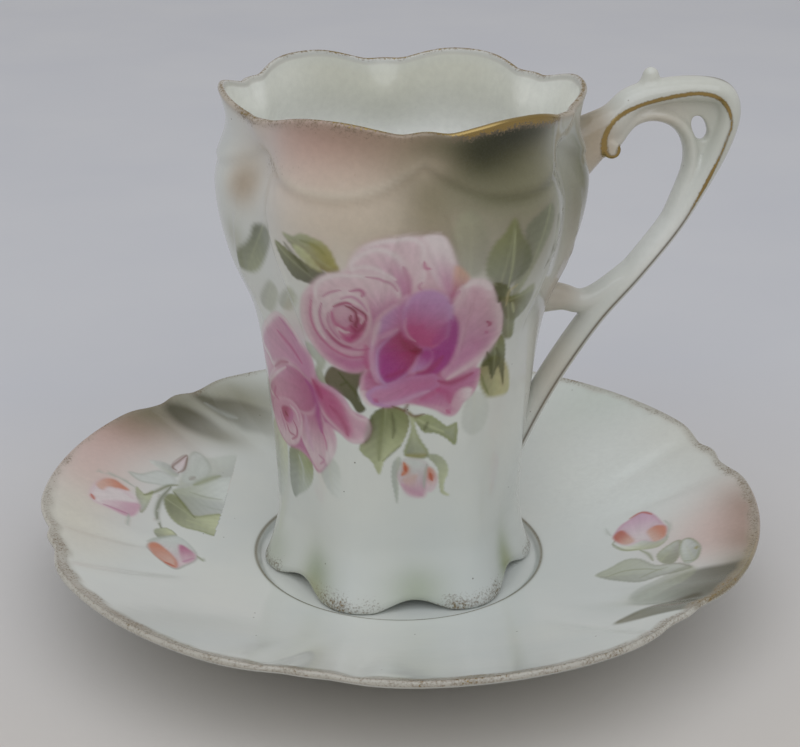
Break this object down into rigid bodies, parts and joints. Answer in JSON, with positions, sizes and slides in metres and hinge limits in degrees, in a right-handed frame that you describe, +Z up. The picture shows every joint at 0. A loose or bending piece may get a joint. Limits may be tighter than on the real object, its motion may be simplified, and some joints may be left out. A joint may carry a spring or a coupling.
{
  "type": "chocolate cup and saucer",
  "caption": "Tall lobed porcelain chocolate cup with a pierced scroll handle, standing loose in the well of a matching lobed saucer.",
  "frame": {"origin": "centre of the saucer's foot ring, on the surface that it stands on", "axes": "+Z up along the cup's and the saucer's axis, +X towards the handle"},
  "size_m": [0.1266, 0.127, 0.0934],
  "materials": {
    "saucer_porcelain": "clear glaze with a worn gold rim and sprayed tints",
    "cup_porcelain": "clear glaze with printed roses and a worn gold rim",
    "handle_porcelain": "clear glaze with a gold line"
  },
  "bodies": {
    "saucer": {"saucer": "saucer_porcelain"},
    "cup": {"cup_body": "cup_porcelain", "handle": "handle_porcelain"}
  },
  "joints": [
    {"name": "cup_lift", "type": "slide", "parent": "saucer", "child": "cup", "axis": [0, 0, 1], "range_m": [0, 0.12]}
  ]
}
